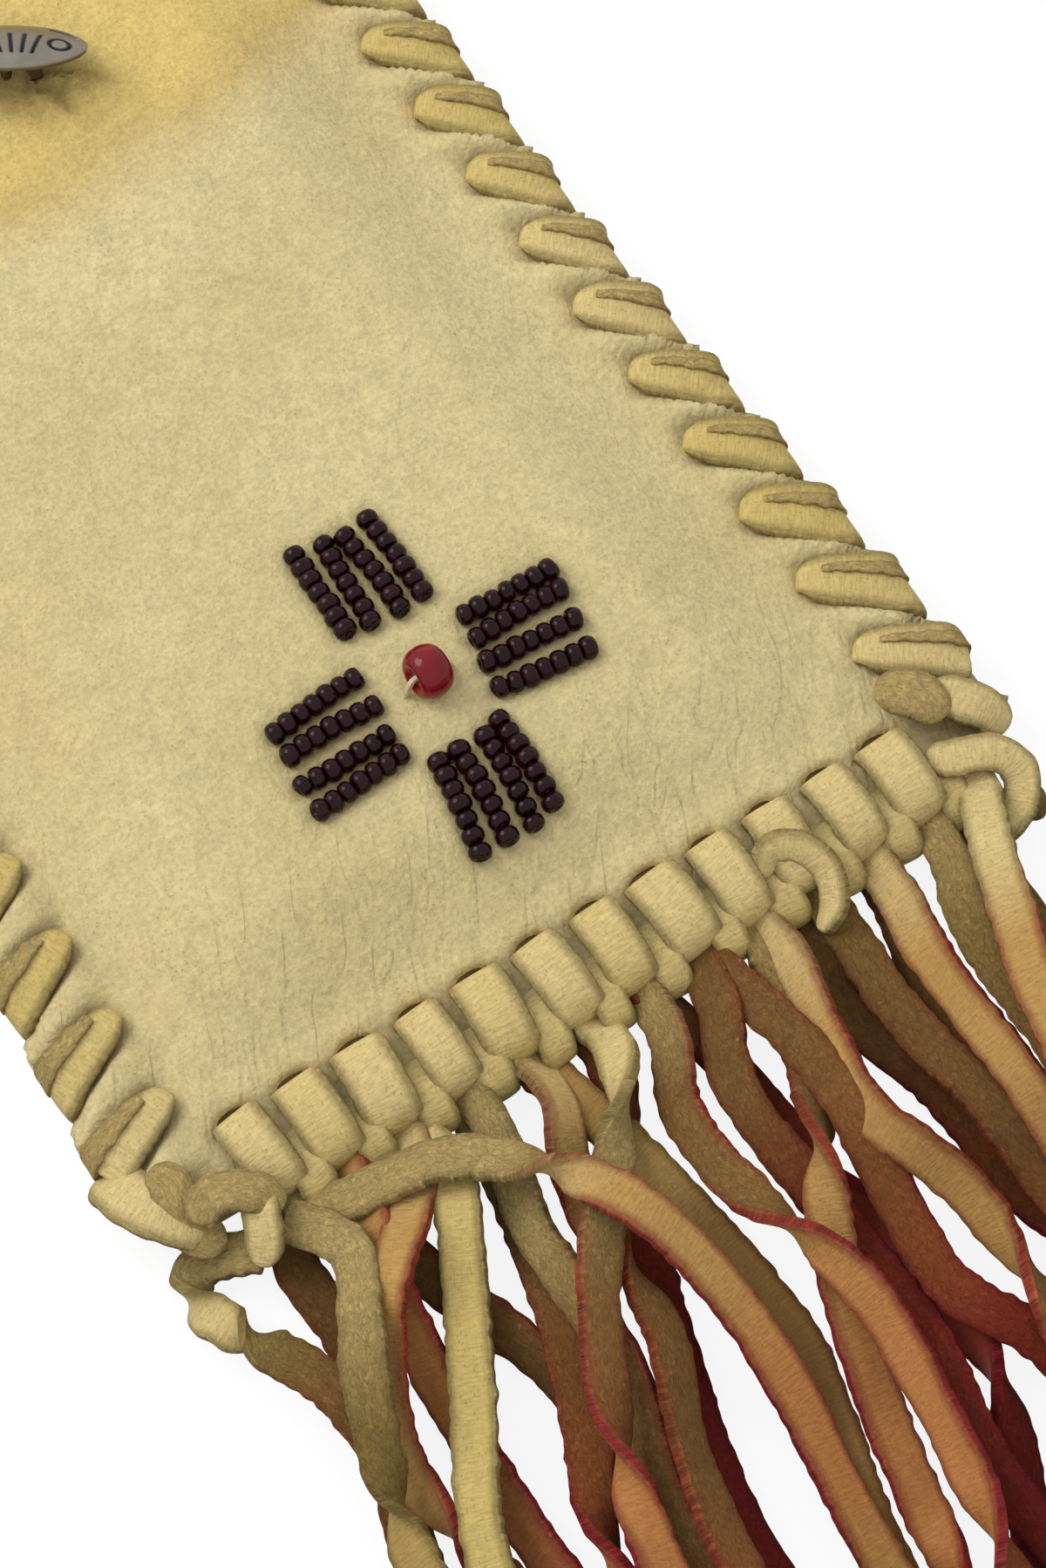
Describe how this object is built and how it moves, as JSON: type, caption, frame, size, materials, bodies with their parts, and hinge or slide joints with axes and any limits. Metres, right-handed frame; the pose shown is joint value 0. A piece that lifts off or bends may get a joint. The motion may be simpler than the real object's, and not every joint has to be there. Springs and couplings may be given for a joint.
{
  "type": "beaded fringe bag",
  "caption": "Flat pouch of pale buckskin with spiral-laced sides, a dyed leather fringe along the bottom, beadwork squares round a red bead and a stamped silver button.",
  "frame": {"origin": "on the outer face of the back panel, in the middle of the pouch", "axes": "+X across the pouch to the right seen from the front, +Y from the fringe to the flap, +Z out of the front panel"},
  "size_m": [0.1161, 0.3441, 0.0176],
  "materials": {
    "hide": "soft matt suede, pale buff",
    "lace": "smooth grain side, tan",
    "fringe": "smooth grain and fuzzy flesh side, dyed orange to deep red towards the ends",
    "seed_bead": "glossy opaque dark glass",
    "red_bead": "satin red glass over a pale core",
    "thread": "matt off-white thread",
    "silver": "tarnished silver, worn bright on the edges and dark in the stamps",
    "thong": "dark waxed hide"
  },
  "bodies": {
    "bag": {"front_panel": "hide", "back_panel": "hide", "side_lace_left": "lace", "side_lace_right": "lace", "fringe_strip_01": "fringe", "fringe_strip_02": "fringe", "fringe_strip_03": "fringe", "fringe_strip_04": "fringe", "fringe_strip_05": "fringe", "fringe_strip_06": "fringe", "fringe_strip_07": "fringe", "fringe_strip_08": "fringe", "fringe_strip_09": "fringe", "fringe_strip_10": "fringe", "fringe_strip_11": "fringe", "fringe_strip_12": "fringe", "bead_lane_upper_1": "seed_bead", "bead_lane_upper_2": "seed_bead", "bead_lane_upper_3": "seed_bead", "bead_lane_upper_4": "seed_bead", "bead_lane_right_1": "seed_bead", "bead_lane_right_2": "seed_bead", "bead_lane_right_3": "seed_bead", "bead_lane_right_4": "seed_bead", "bead_lane_lower_1": "seed_bead", "bead_lane_lower_2": "seed_bead", "bead_lane_lower_3": "seed_bead", "bead_lane_lower_4": "seed_bead", "bead_lane_left_1": "seed_bead", "bead_lane_left_2": "seed_bead", "bead_lane_left_3": "seed_bead", "bead_lane_left_4": "seed_bead", "centre_bead": "red_bead", "centre_bead_thread": "thread", "button_thong": "thong"},
    "button": {"button_plate": "silver", "button_shank": "silver"}
  },
  "joints": [
    {"name": "button_rock", "type": "hinge", "parent": "bag", "child": "button", "pos_m": [0.006, 0.0485, 0.0132], "axis": [0.8271, -0.5621, 0], "range_deg": [0, 62]}
  ]
}
